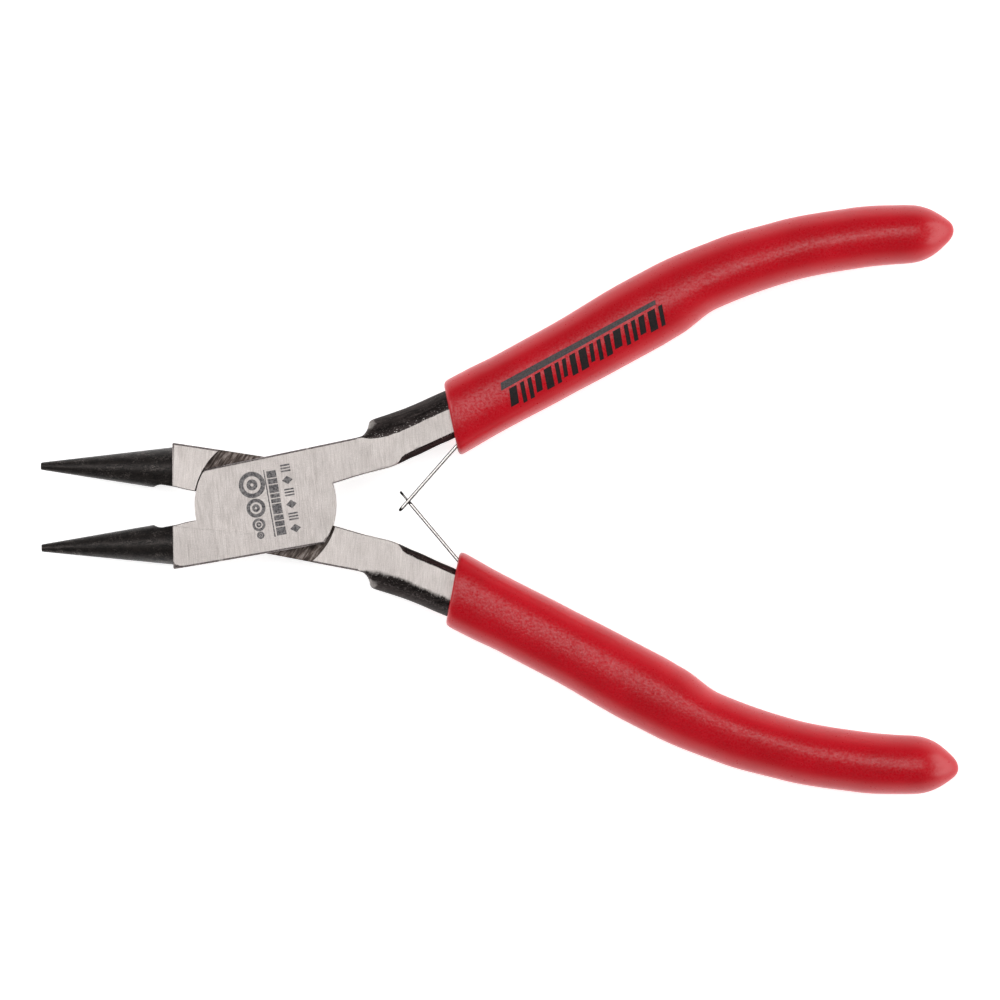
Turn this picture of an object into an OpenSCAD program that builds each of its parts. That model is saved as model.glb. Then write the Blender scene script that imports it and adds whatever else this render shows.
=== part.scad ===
// Round nose pliers with a box joint, vinyl grips and interlocking leaf springs.
// +Z points out of the front face, +X runs from the pivot towards the handles,
// and the origin is on the pivot axis at the joint's back face. Millimetres.
// Each half is drawn as it lies when the jaws are shut, its inner line along X,
// and is then swung open by half_open about the pivot.

/* [Stance] */
// Angle that each half is swung open from the shut position
half_open = 9.4; // [0:0.1:11]

/* [Joint] */
// Thickness of the joint from face to face
joint_t = 8; // [7:0.1:9]
// Thickness of the inner lever's tongue
tongue_t = 3; // [2.4:0.1:3.6]
// Radius of the outer lever's cheeks
cheek_r = 9.6; // [9:0.1:10]
// Gap between a cheek and the shoulder beside it
shoulder_gap = 0.2; // [0.1:0.05:0.4]
// Radius of the pivot pin
pin_r = 2.1; // [1.5:0.1:2.5]
// Radial running clearance of the tongue on the pin
pin_clearance = 0.04; // [0.02:0.01:0.08]
// Clearance of the tongue in the slot on each side
slot_clearance = 0.04; // [0.02:0.01:0.1]

/* [Jaws] */
// Distance of the jaw tips from the pivot
jaw_reach = 31.1; // [28:0.1:33]
// Length of each conical jaw
jaw_len = 17.9; // [15:0.1:18.5]
// Radius of a jaw at its tip
jaw_tip_r = 0.5; // [0.4:0.05:0.8]
// Half angle of the jaw cone
jaw_taper = 7.4; // [6.5:0.1:7.6]
// Gap left between one jaw and the centre line when shut
jaw_gap = 0.03; // [0.02:0.01:0.1]
// Depth of the relief cut behind the gripping line
relief_depth = 0.55; // [0.4:0.05:0.7]

/* [Handles] */
// Distance from the centre line to the handle where the grip starts
mouth_y = 7.38; // [7:0.02:7.6]
// Distance from the pivot to the grip's mouth along X
mouth_x = 27.95; // [27.5:0.05:28.5]
// Slope of the grip's straight front part
grip_slope = 19.06; // [18:0.02:20]
// Length of the grip's straight front part
grip_straight = 31.8; // [30:0.1:33]
// Bend radius of the grip's curved rear part
grip_bend_r = 80; // [75:1:90]
// Angle that the rear part turns through
grip_turn = 26; // [22:0.5:28]
// Length of the grip's pointed end
grip_nose = 5.5; // [4.5:0.1:6]

/* [Springs] */
// Thickness of the leaf springs
leaf_t = 0.4; // [0.3:0.05:0.5]
// Width of the leaf springs
leaf_w = 5; // [4.4:0.1:5.4]
// Length of a leaf from its bend to the point where the two cross
leaf_cross = 12.68; // [12.6:0.02:12.76]
// Slope of a leaf's free arm
leaf_slope = 40.3; // [40.1:0.05:40.5]
// Length of a leaf's fixed foot under the grip
leaf_foot = 8.6; // [7.5:0.1:10]
// Radius of the rivets' shanks
rivet_r = 0.8; // [0.6:0.05:1]
// Radius of the rivets' heads
rivet_head_r = 1.5; // [1.2:0.05:1.8]

/* [Hidden] */
$fn = 64;

steel_colour = [0.78, 0.76, 0.75];
black_colour = [0.13, 0.12, 0.12];
vinyl_colour = [0.74, 0.09, 0.15];
spring_colour = [0.72, 0.71, 0.70];

mid_z = joint_t / 2;
eps = 0.01;
shoulder_r = cheek_r + shoulder_gap;
slot_r = shoulder_r + 0.15;
tongue_r = shoulder_r - 0.05;
recess = (joint_t - tongue_t) / 2;

// Lower and upper edges of the plate, and the inner edge of the block beside the jaw.
plate_low_y = -6.35;
plate_high_y = 6.45;
plate_rise = 0.4;
block_inner_y = -0.5;
block_outer_y = -6.3;

// The jaw cone's virtual point, from which its axis runs back and away from the centre line.
jaw_skip = jaw_tip_r / tan(jaw_taper);
jaw_root = 0.6;
jaw_root_r = (jaw_skip + jaw_len + jaw_root) * tan(jaw_taper);
cone_x = -jaw_reach - jaw_skip * cos(jaw_taper);
block_front_x = cone_x + (jaw_skip + jaw_len) / cos(jaw_taper);
relief_from = -15.5;
relief_full = -14.4;

// The neck's outline, from the plate back to the grip, and the lines where its bevels begin.
shoulder_foot = [14.7, 6.92];
shoulder_top = [16.5, 8.8];
neck_outer_end = [27.6, 11.35];
neck_inner_end = [28.2, 4.95];
neck_inner = [[9.6, 1.3], [13.5, 1.8], [17.7, 2.15], [19.2, 2.5]];
outer_bevel_from = [16.8, 6.3];
outer_bevel_slope = 14.3;
outer_bevel_w = 2.6;
outer_bevel_h = 2.2;
inner_bevel_from = [19.4, 2.85];
inner_bevel_slope = 16.2;
inner_bevel_w = 0.7;
inner_bevel_h = 1;

// Forged core under the grip: half width and how far it lies outside the grip's centre line.
core_half_w = 3.1;
core_shift = 0.7;
core_len = 66;
core_clearance = 0.05;
core_steps = [-0.6, 3, 8, 12, 20, 30, 36, 42, 46, 50, 54, 58, 62, core_len];

// The grip's mouth: its place along the centre line, and how far it leans along the handle
// for each millimetre outwards.
mouth_s = -0.8;
mouth_lean = 0.281;
lean_len = 9;
lip_len = 0.7;
boxy = 2.6;
round = 2.15;

// Foot of a leaf: its distance from the grip's centre line, and where the arm bends off.
leaf_seat = core_half_w - core_shift + 0.02;
leaf_bend_s = 0.26;
rivet_s = 5.6;
rivet_head_h = 0.5;
rivet_len = 5;
roll_r = 0.34;
pocket_len = 11;
pocket_w = leaf_w + 0.3;
leaf_room = 0.12;
pocket_depth = leaf_t + rivet_head_h + leaf_room;
pocket_overlap = 0.6;

// Window of the slotted leaf and neck of the tongued one, measured from the bend.
window_from = leaf_cross - 1.45;
window_to = leaf_cross + 0.75;
window_w = 2.4;
slotted_len = leaf_cross + 1.5;
neck_from = leaf_cross - 0.35;
neck_to = leaf_cross + 1;
neck_w = 2;
head_w = 3.3;
tongued_len = leaf_cross + 1.7;

// ---- curves -------------------------------------------------------------

// Value of a smooth curve through [position, value] pairs, eased between neighbours.
function eased(t) = t * t * (3 - 2 * t);
function along(s, table, i = 0) =
    s <= table[0][0] ? table[0][1]
    : i >= len(table) - 1 ? table[len(table) - 1][1]
    : s <= table[i + 1][0]
        ? table[i][1] + (table[i + 1][1] - table[i][1])
            * eased((s - table[i][0]) / (table[i + 1][0] - table[i][0]))
    : along(s, table, i + 1);

// Heading and place on the grip's centre line, at a distance s behind its mouth.
function heading(s) =
    grip_slope - max(0, min(s - grip_straight, grip_bend_r * grip_turn * PI / 180))
        / grip_bend_r * 180 / PI;
arc_s = grip_bend_r * grip_turn * PI / 180;
grip_len = grip_straight + arc_s + grip_nose;
function centre(s) =
    let (straight = min(s, grip_straight),
        h = heading(s),
        past = max(0, s - grip_straight - arc_s))
    [mouth_x + straight * cos(grip_slope)
            + grip_bend_r * (sin(grip_slope) - sin(h)) + past * cos(h),
        mouth_y + straight * sin(grip_slope)
            + grip_bend_r * (cos(h) - cos(grip_slope)) + past * sin(h)];

// Grip: half widths towards the outside, the inside and the faces, at distances behind the mouth.
grip_out = [[mouth_s, 4.5], [mouth_s + lip_len, 4.9], [14, 4.85], [28, 5.1], [38, 4.9],
    [50, 4.5], [60, 4.15], [grip_straight + arc_s, 3.75]];
grip_in = [[mouth_s, 4.6], [mouth_s + lip_len, 5], [14, 4.85], [29, 5.05], [32, 4.95], [38.5, 3.95],
    [50, 3.98], [60, 4.18], [grip_straight + arc_s, 4.18]];
grip_face = [[mouth_s, 4.65], [mouth_s + lip_len, 5], [14, 4.95], [30, 4.85], [42, 4.5],
    [55, 4.25], [grip_straight + arc_s, 4.05]];

// Share of full size in the pointed end: a cone with a round tip.
function nose(s) =
    let (u = max(0, (s - grip_straight - arc_s) / grip_nose))
    u >= 1 ? 0 : pow(1 - pow(u, 1.6), 0.64);

// Core: half width, half height and bevels at distances behind the mouth. In front it lies
// towards the grip's outer side, which leaves room for the leaf's foot.
core_width = [[0, core_half_w], [30, core_half_w], [50, 2.95], [60, 2.8], [core_len, 2.3]];
core_height = [[0, 3.95], [8, 3.85], [30, 3.6], [45, 3.3], [60, 3], [core_len, 2.5]];
core_outer_bevel = [[0, 2.4], [12, 1.7], [core_len, 1.3]];
core_inner_bevel = [[0, 0.7], [12, 1.5], [core_len, 1.3]];
function core_mid(s) = core_shift * (1 - eased(max(0, min(1, (s - 30) / 12))));

// Octagon across the core at s, in the order inwards, over the top; n runs outwards.
function octagon(s, more) =
    let (w = along(s, core_width) + more, h = along(s, core_height) + more,
        o = along(s, core_outer_bevel), i = along(s, core_inner_bevel), m = core_mid(s))
    [[m + w, -h + o * 0.9], [m + w, h - o * 0.9], [m + w - o, h], [m - w + i, h],
        [m - w, h - i * 1.2], [m - w, -h + i * 1.2], [m - w + i, -h], [m + w - o, -h]];

// Superellipse point at angle a, with separate half widths on its two sides.
function super(a, w_out, w_in, h, p) =
    let (c = cos(a), s = sin(a), q = 2 / p)
    [sign(c) * pow(abs(c), q) * (c > 0 ? w_out : w_in), sign(s) * pow(abs(s), q) * h];

// Places [n, z] points across the centre line at s; the ring leans with the mouth in front.
function lean(s) = mouth_lean * (1 - eased(max(0, min(1, s / lean_len))));
function placed(s, points) =
    let (c = centre(s), a = heading(s), k = lean(s))
    [for (q = points)
        [c[0] - q[0] * sin(a) + k * q[0] * cos(a), c[1] + q[0] * cos(a) + k * q[0] * sin(a),
            mid_z + q[1]]];

// Closed skin over a list of rings, with a flat face at each end.
module skin(rings) {
    sides = len(rings[0]);
    last = len(rings) - 1;
    polyhedron(
        points = [for (r = rings) each r],
        faces = concat(
            [[for (i = [0:sides - 1]) i]],
            [for (k = [0:last - 1], i = [0:sides - 1])
                each let (j = (i + 1) % sides, a = k * sides, b = a + sides)
                    [[a + i, b + i, b + j], [a + i, b + j, a + j]]],
            [[for (i = [sides - 1:-1:0]) last * sides + i]]),
        convexity = 6);
}

// ---- levers -------------------------------------------------------------

// The plate through the joint; its two edges are nearly parallel.
module plate() {
    linear_extrude(joint_t)
        polygon([[-12, plate_low_y], [12, plate_low_y], [12, plate_high_y + plate_rise],
            [0, plate_high_y], [-12, plate_high_y - plate_rise]]);
}

// The block that carries the jaw; its front face is square to the jaw's axis.
module jaw_block() {
    linear_extrude(joint_t)
        polygon([[-4, plate_low_y], [-8, plate_low_y],
            [block_front_x + block_outer_y * tan(jaw_taper), block_outer_y],
            [block_front_x + block_inner_y * tan(jaw_taper), block_inner_y],
            [-4, block_inner_y]]);
}

// Conical jaw, relieved on its inner side near the block.
module jaw() {
    difference() {
        translate([cone_x, -jaw_gap, mid_z])
            rotate([0, 0, -jaw_taper])
                rotate([0, 90, 0])
                    translate([0, 0, jaw_skip])
                        cylinder(h = jaw_len + jaw_root, r1 = jaw_tip_r, r2 = jaw_root_r);
        translate([0, 0, -1])
            linear_extrude(joint_t + 2)
                polygon([[relief_from, -jaw_gap - eps], [relief_full, -relief_depth],
                    [-10, -relief_depth], [-10, 3], [relief_from, 3]]);
    }
}

// Neck from the plate to the grip, with a wide bevel outside and a narrow one inside.
module neck() {
    difference() {
        linear_extrude(joint_t)
            polygon(concat([[0, neck_inner[0][1]], [0, plate_high_y],
                [12, plate_high_y + plate_rise], shoulder_foot, shoulder_top,
                neck_outer_end, neck_inner_end],
                [for (i = [len(neck_inner) - 1:-1:0]) neck_inner[i]]));
        for (face = [0, 1])
            turned_over(face) {
                bevel(shoulder_foot, atan2(outer_bevel_from[1] - shoulder_foot[1],
                    outer_bevel_from[0] - shoulder_foot[0]), -0.4, 2.5, 1);
                bevel(outer_bevel_from, outer_bevel_slope, -0.3, 16, 1);
                bevel(inner_bevel_from, inner_bevel_slope, -0.1, 16, -1);
            }
    }
}

// Wedge that cuts the upper face's edge on one side of a line, between two distances along it.
module bevel(start, slope, from, to, side) {
    w = side > 0 ? outer_bevel_w : inner_bevel_w;
    h = side > 0 ? outer_bevel_h : inner_bevel_h;
    translate([start[0], start[1], joint_t])
        rotate([0, 0, slope])
            translate([from, 0, 0])
                rotate([90, 0, 90])
                    linear_extrude(to - from)
                        polygon([[-side * 0.9, h * 0.9 / w], [side * 2 * w, -2 * h],
                            [side * 2 * w, h * 0.9 / w]]);
}

// Its children as drawn, or turned over the middle plane.
module turned_over(face) {
    if (face == 0) children();
    if (face == 1)
        translate([0, 0, joint_t]) mirror([0, 0, 1]) children();
}

// Forged core inside the grip.
module core() {
    skin([for (s = core_steps) placed(s, octagon(s, 0))]);
}

// Everything of a lever outside its joint.
module lever_arm() {
    color(steel_colour) {
        jaw_block();
        neck();
    }
    color(black_colour) {
        jaw();
        core();
    }
}

// Blind hole in the core for the spring's rivet.
module rivet_hole() {
    on_rivet(-1) cylinder(h = rivet_len + 1.3, r = rivet_r);
}

// Places its children on the rivet's axis, looking outwards from the leaf's seat plus lift.
module on_rivet(lift) {
    c = centre(rivet_s);
    n = -leaf_seat + lift;
    translate([c[0] - n * sin(grip_slope), c[1] + n * cos(grip_slope), mid_z])
        rotate([0, 0, grip_slope])
            rotate([-90, 0, 0])
                children();
}

module outer_lever() {
    rotate([0, 0, half_open])
        difference() {
            union() {
                lever_arm();
                color(steel_colour)
                    intersection() {
                        plate();
                        cylinder(h = joint_t, r = cheek_r);
                    }
            }
            translate([0, 0, mid_z - tongue_t / 2 - slot_clearance])
                cylinder(h = tongue_t + 2 * slot_clearance, r = slot_r);
            translate([0, 0, -1]) cylinder(h = joint_t + 2, r = pin_r);
            rivet_hole();
        }
}

module inner_lever() {
    mirror([0, 1, 0])
        rotate([0, 0, half_open])
            difference() {
                union() {
                    lever_arm();
                    color(steel_colour)
                        intersection() {
                            plate();
                            cylinder(h = joint_t, r = tongue_r);
                        }
                }
                for (z = [-1, joint_t - recess])
                    translate([0, 0, z]) cylinder(h = recess + 1, r = shoulder_r);
                translate([0, 0, -1]) cylinder(h = joint_t + 2, r = pin_r + pin_clearance);
                rivet_hole();
            }
}

module pivot_pin() {
    color(steel_colour) cylinder(h = joint_t, r = pin_r);
}

// ---- grips --------------------------------------------------------------

// Vinyl grip: a blind sleeve over the core, with a pocket for the spring's foot and rivet.
module grip() {
    arc_end = grip_straight + arc_s;
    outer_steps = concat([mouth_s, mouth_s + lip_len / 3, mouth_s + lip_len, 3, 6, 9, 14, 21,
        28, 32, 34.5, 37, 40, 44, 48, 52, 56, 60, 64],
        [for (u = [0, 0.2, 0.4, 0.6, 0.78, 0.9, 0.97]) arc_end + u * grip_nose]);
    inner_steps = concat([for (s = core_steps) if (s > 0) s], [core_len + 0.5]);
    sides = 24;
    color(vinyl_colour)
        difference() {
            skin([for (s = outer_steps) placed(s, oval(s, sides))]);
            skin(concat([placed(mouth_s - 1, octagon(0, core_clearance))],
                [for (s = inner_steps) placed(s, octagon(s, core_clearance))]));
            at_bend()
                rotate([0, 0, grip_slope])
                    translate([-3, -leaf_t / 2 - rivet_head_h - leaf_room,
                        (leaf_w - pocket_w) / 2])
                        cube([pocket_len + 3, pocket_depth + pocket_overlap, pocket_w]);
            at_bend()
                rotate([0, 0, leaf_slope + 180])
                    translate([-leaf_room, -leaf_t / 2 - leaf_room, (leaf_w - pocket_w) / 2])
                        cube([4, leaf_t + 2 * leaf_room, pocket_w]);
        }
}
// Points of the grip's outline at s: boxy at the mouth and rounder towards the end.
function oval(s, sides) =
    [for (i = [0:sides - 1])
        super(360 * (i + 0.5) / sides, along(s, grip_out) * nose(s), along(s, grip_in) * nose(s),
            along(s, grip_face) * nose(s), boxy - (boxy - round) * min(1, s / 45))];

// ---- springs ------------------------------------------------------------

// Foot and arm of a leaf, from its bend; the arm runs forwards and inwards.
module leaf_strip(arm_len) {
    at_bend() {
        cylinder(h = leaf_w, r = leaf_t / 2);
        rotate([0, 0, grip_slope])
            translate([0, -leaf_t / 2, 0]) cube([leaf_foot, leaf_t, leaf_w]);
        rotate([0, 0, leaf_slope + 180]) {
            translate([0, -leaf_t / 2, 0]) cube([arm_len, leaf_t, leaf_w]);
            translate([arm_len, 0, 0]) cylinder(h = leaf_w, r = roll_r);
        }
    }
}

// Places its children at the bend, at the height of the leaf's lower edge.
module at_bend() {
    c = centre(leaf_bend_s);
    n = -leaf_seat - leaf_t / 2;
    translate([c[0] - n * sin(grip_slope), c[1] + n * cos(grip_slope), mid_z - leaf_w / 2])
        children();
}

// A box across the arm, from one distance from the bend to another, between two heights.
module arm_box(from, to, low, high) {
    at_bend()
        rotate([0, 0, leaf_slope + 180])
            translate([from, -2, leaf_w / 2 + low]) cube([to - from, 4, high - low]);
}

// Leaf with a window near its end, on the outer lever.
module slotted_leaf_spring() {
    color(spring_colour)
        rotate([0, 0, half_open])
            difference() {
                leaf_strip(slotted_len);
                arm_box(window_from, window_to, -window_w / 2, window_w / 2);
                rivet_hole();
            }
}

// Leaf whose end is a narrow neck with a wider head behind the window, on the inner lever.
module tongued_leaf_spring() {
    color(spring_colour)
        mirror([0, 1, 0])
            rotate([0, 0, half_open])
                difference() {
                    leaf_strip(tongued_len);
                    for (face = [0, 1])
                        turned_over(face) {
                            arm_box(neck_from, neck_to, neck_w / 2, leaf_w);
                            arm_box(neck_to - eps, tongued_len + 1, head_w / 2, leaf_w);
                        }
                    rivet_hole();
                }
}

// Domed head against the leaf, and a shank through the leaf and the handle.
module spring_rivet() {
    color(steel_colour)
        rotate([0, 0, half_open])
            on_rivet(-leaf_t) {
                cylinder(h = rivet_len + leaf_t, r = rivet_r);
                mirror([0, 0, 1])
                    rotate_extrude()
                        polygon(concat([[0, 0]], [for (i = [0:8])
                            [rivet_head_r * cos(i * 90 / 8), rivet_head_h * sin(i * 90 / 8)]]));
            }
}
module slotted_leaf_rivet() { spring_rivet(); }
module tongued_leaf_rivet() { mirror([0, 1, 0]) spring_rivet(); }

module outer_lever_grip() { rotate([0, 0, half_open]) grip(); }
module inner_lever_grip() { mirror([0, 1, 0]) rotate([0, 0, half_open]) grip(); }

outer_lever();
inner_lever();
pivot_pin();
outer_lever_grip();
inner_lever_grip();
slotted_leaf_spring();
tongued_leaf_spring();
slotted_leaf_rivet();
tongued_leaf_rivet();
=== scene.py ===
"""Looks of the round nose pliers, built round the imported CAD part.

Lengths are in millimetres and are turned into metres when a mesh is made; only lamps, the floor
and the scales of noises are in metres. Each lever is drawn as it lies when the jaws are shut, with
its inner line along X, its jaw at -Y and its handle at +Y; the outer lever is then swung open by
HALF_OPEN, and the inner one is its mirror.
"""

import math

import bmesh
import bpy
import numpy as np
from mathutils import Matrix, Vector

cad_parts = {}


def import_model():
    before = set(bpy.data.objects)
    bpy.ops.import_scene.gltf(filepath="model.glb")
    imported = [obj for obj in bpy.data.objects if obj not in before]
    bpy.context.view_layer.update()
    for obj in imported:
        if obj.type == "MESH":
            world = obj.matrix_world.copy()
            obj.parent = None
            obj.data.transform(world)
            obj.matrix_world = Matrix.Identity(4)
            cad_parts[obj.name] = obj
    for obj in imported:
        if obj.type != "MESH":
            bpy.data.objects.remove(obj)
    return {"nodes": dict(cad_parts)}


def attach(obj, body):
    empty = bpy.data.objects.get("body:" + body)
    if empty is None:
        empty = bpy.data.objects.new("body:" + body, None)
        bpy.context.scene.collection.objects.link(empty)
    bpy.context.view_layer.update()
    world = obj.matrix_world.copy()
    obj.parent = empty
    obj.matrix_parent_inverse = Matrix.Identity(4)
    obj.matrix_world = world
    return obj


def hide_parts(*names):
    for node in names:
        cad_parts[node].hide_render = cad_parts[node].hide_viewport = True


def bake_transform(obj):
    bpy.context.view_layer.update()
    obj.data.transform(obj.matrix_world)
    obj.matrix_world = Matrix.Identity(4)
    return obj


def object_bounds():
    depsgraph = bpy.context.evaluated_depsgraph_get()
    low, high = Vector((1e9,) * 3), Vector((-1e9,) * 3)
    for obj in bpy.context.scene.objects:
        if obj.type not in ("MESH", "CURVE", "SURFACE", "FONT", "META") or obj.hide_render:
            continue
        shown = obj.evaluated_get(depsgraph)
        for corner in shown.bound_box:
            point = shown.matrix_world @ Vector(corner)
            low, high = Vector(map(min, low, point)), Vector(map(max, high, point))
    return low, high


MM = 0.001
HALF_OPEN = math.radians(9.4)
OUTER, INNER = 1, -1
# The camera's frame is measured in the plane at this height
FRAMED_Z = 5.5

# Joint: EDGE is the size of the small round edges
JOINT_T = 8.0
MID_Z = JOINT_T / 2
TONGUE_T = 3.0
SLOT_CLEARANCE = 0.04
CHEEK_R = 9.6
TONGUE_R = 9.56
RECESS_R = 9.88
RECESS_SHIFT = 0.2
DISC_SHIFT = 0.08
SLOT_R = 9.95
PIN_R = 2.1
PIN_CLEARANCE = 0.04
EDGE = 0.13

# Jaws: JAW_ROOT lies inside the block, and JAW_GAP is half the gap between the shut jaws. The tip's
# table has shares of its radius, and the relief's table says how far in the inner side may reach.
JAW_TIP_X = -31.1
JAW_LEN = 17.9
JAW_TIP_R = 0.5
JAW_TAPER = math.radians(7.75)
JAW_ROOT = 0.35
JAW_GAP = 0.03
JAW_TIP = ((0.0, 0.84), (0.02, 0.92), (0.05, 0.97), (0.1, 1.0))
JAW_RELIEF = ((-15.55, 0.2), (-15.5, -JAW_GAP), (-14.95, -0.42), (-14.45, -0.57), (-12.0, -0.55))

# Grips: centre line, and half widths at distances behind the mouth. The mouth's plane leans, the lip
# is LIP_INNER times as deep on the inner side, and the section is BOXY in front and ROUND behind.
MOUTH = (27.95, 7.38)
GRIP_SLOPE = math.radians(19.06)
GRIP_STRAIGHT = 31.8
GRIP_BEND_R = 80.0
GRIP_TURN = math.radians(26)
NOSE_LEN = 5.335
ARC_LEN = GRIP_BEND_R * GRIP_TURN
ARC_END = GRIP_STRAIGHT + ARC_LEN
MOUTH_S = -0.965
MOUTH_LEAN = 0.308
LEAN_LEN = 9.0
LIP_INNER = 1.5
BOXY, ROUND, ROUND_FROM = 2.55, 2.02, 45
WIDTH_OUT = ((0, 5.1), (3, 5.05), (9, 4.85), (17, 4.82), (28, 5.18), (33, 5.12), (42, 4.82),
             (50, 4.48), (60, 4.12), (ARC_END, 3.71))
WIDTH_IN = ((0, 4.84), (4.5, 4.73), (14, 4.89), (22, 5.01), (29, 5.05), (32, 4.95), (38.5, 3.98),
            (50, 3.98), (60, 4.22), (ARC_END, 4.34))
HALF_HIGH = ((0, 4.95), (14, 4.93), (30, 4.85), (42, 4.5), (55, 4.25), (ARC_END, 4.05))

# Forged core inside the grips
CORE_LEN = 66.0
CORE_SHIFT = 0.7
CORE_WIDTH = ((0, 3.1), (30, 3.1), (50, 2.95), (60, 2.8), (CORE_LEN, 2.3))
CORE_HIGH = ((0, 3.92), (8, 3.85), (30, 3.6), (45, 3.3), (60, 3.0), (CORE_LEN, 2.5))
CORE_BEVEL_OUT = ((0, 2.4), (12, 1.7), (CORE_LEN, 1.3))
CORE_BEVEL_IN = ((0, 0.7), (12, 1.5), (CORE_LEN, 1.3))

# Leaf springs, at distances from their bend. LEAF_T places the foot, and LEAF_HALF is half of the
# thickness drawn. WINDOW and NECK are (from, to, half height).
LEAF_T = 0.4
LEAF_HALF = 0.225
LEAF_ROUND = 0.115
LEAF_W = 5.0
LEAF_SEAT = 2.42
LEAF_BEND_S = 0.26
LEAF_SLOPES = {OUTER: math.radians(38.7), INNER: math.radians(41.0)}
LEAF_CROSS = {OUTER: 12.47, INNER: 13.0}
LEAF_FOOT = 8.6
LEAF_BEND_R = 1.3
WINDOW = (LEAF_CROSS[OUTER] - 1.45, LEAF_CROSS[OUTER] + 1.42, 1.25)
NECK = (LEAF_CROSS[INNER] - 0.35, LEAF_CROSS[INNER] + 1.25, 1.0)
HEAD_HALF = 1.65
SLOTTED_LEN = LEAF_CROSS[OUTER] + 1.8
TONGUED_LEN = LEAF_CROSS[INNER] + 1.75


# ---- curves ----------------


def eased(t):
    t = min(1.0, max(0.0, t))
    return t * t * (3 - 2 * t)


def along(s, table):
    """Value at s of a table of (position, value), eased between neighbours."""
    if s <= table[0][0]:
        return table[0][1]
    for (a, va), (b, vb) in zip(table, table[1:]):
        if s <= b:
            return va + (vb - va) * eased((s - a) / (b - a))
    return table[-1][1]


def straight(x, table):
    """Value at x of a table of (position, value), in straight pieces."""
    return float(np.interp(x, [t[0] for t in table], [t[1] for t in table]))


def heading(s):
    return GRIP_SLOPE - min(max(s - GRIP_STRAIGHT, 0.0), ARC_LEN) / GRIP_BEND_R


def centre(s):
    """Point of the grip's centre line at a distance s behind its mouth."""
    h = heading(s)
    run = min(s, GRIP_STRAIGHT)
    past = max(0.0, s - ARC_END)
    x = MOUTH[0] + run * math.cos(GRIP_SLOPE) + past * math.cos(h)
    y = MOUTH[1] + run * math.sin(GRIP_SLOPE) + past * math.sin(h)
    x += GRIP_BEND_R * (math.sin(GRIP_SLOPE) - math.sin(h))
    y += GRIP_BEND_R * (math.cos(h) - math.cos(GRIP_SLOPE))
    return x, y


def placed(s, points):
    """(n, z) points across the centre line at s; the ring leans with the mouth in front."""
    cx, cy = centre(s)
    a = heading(s)
    k = MOUTH_LEAN * (1 - eased(s / LEAN_LEN))
    ca, sa = math.cos(a), math.sin(a)
    return [(cx - n * sa + k * n * ca, cy + n * ca + k * n * sa, MID_Z + z) for n, z in points]


def in_row(point, side):
    """A shut lever's point as it lies in the row frame at rest, in metres."""
    x, y, z = point
    c, s = math.cos(HALF_OPEN), math.sin(HALF_OPEN)
    return ((x * c - y * s) * MM, (x * s + y * c) * side * MM, z * MM)


def in_lever(co, side):
    """The other way round: a row-frame point in metres as the shut lever's millimetres."""
    x, y, z = co[0] / MM, co[1] * side / MM, co[2] / MM
    c, s = math.cos(HALF_OPEN), math.sin(HALF_OPEN)
    return x * c + y * s, -x * s + y * c, z


# ---- meshes ----------------


def in_scene(name, data):
    """A new object of a mesh, a lamp or a camera."""
    obj = bpy.data.objects.new(name, data)
    bpy.context.scene.collection.objects.link(obj)
    return obj


def new_object(name, verts, faces, side):
    mesh = bpy.data.meshes.new(name)
    mesh.from_pydata([in_row(v, side) for v in verts], [], faces)
    return in_scene(name, mesh)


def neaten(obj, sharp_deg=32.0, weld=1e-7):
    """Drops loose points, welds, turns the faces outwards, and shades smooth up to an angle."""
    bm = bmesh.new()
    bm.from_mesh(obj.data)
    bmesh.ops.delete(bm, geom=[v for v in bm.verts if not v.link_faces], context="VERTS")
    bmesh.ops.remove_doubles(bm, verts=bm.verts, dist=weld)
    bmesh.ops.recalc_face_normals(bm, faces=bm.faces)
    limit = math.radians(sharp_deg)
    for face in bm.faces:
        face.smooth = True
    for edge in bm.edges:
        edge.smooth = edge.is_manifold and edge.calc_face_angle(0.0) < limit
    bm.to_mesh(obj.data)
    bm.free()
    return obj


def baked(obj):
    """Replaces the mesh by what the modifiers make of it."""
    graph = bpy.context.evaluated_depsgraph_get()
    mesh = bpy.data.meshes.new_from_object(obj.evaluated_get(graph))
    obj.modifiers.clear()
    obj.data = mesh
    return obj


def cut(obj, cutter):
    mod = obj.modifiers.new("cut", "BOOLEAN")
    mod.operation, mod.solver, mod.object = "DIFFERENCE", "MANIFOLD", cutter
    baked(obj)
    bpy.data.objects.remove(cutter)
    return obj


def join(name, objects):
    """One object from several meshes; the first one's materials come first."""
    bm = bmesh.new()
    mats = []
    for o in objects:
        shift = len(mats)
        mats += list(o.data.materials)
        first = len(bm.faces)
        bm.from_mesh(o.data)
        bm.faces.ensure_lookup_table()
        for face in bm.faces[first:]:
            face.material_index += shift
    mesh = bpy.data.meshes.new(name)
    bm.to_mesh(mesh)
    bm.free()
    for m in mats:
        mesh.materials.append(m)
    for o in objects:
        bpy.data.objects.remove(o)
    return in_scene(name, mesh)


def skin(name, rings, side):
    """A tube through equal rings, closed by a face at each end."""
    count = len(rings[0])
    verts = [p for ring in rings for p in ring]
    faces = []
    for k in range(len(rings) - 1):
        for i in range(count):
            j = (i + 1) % count
            a, b = k * count, (k + 1) * count
            faces.append((a + i, a + j, b + j, b + i))
    faces.append(tuple(range(count)))
    faces.append(tuple((len(rings) - 1) * count + i for i in range(count)))
    return new_object(name, verts, faces, side)


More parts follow.
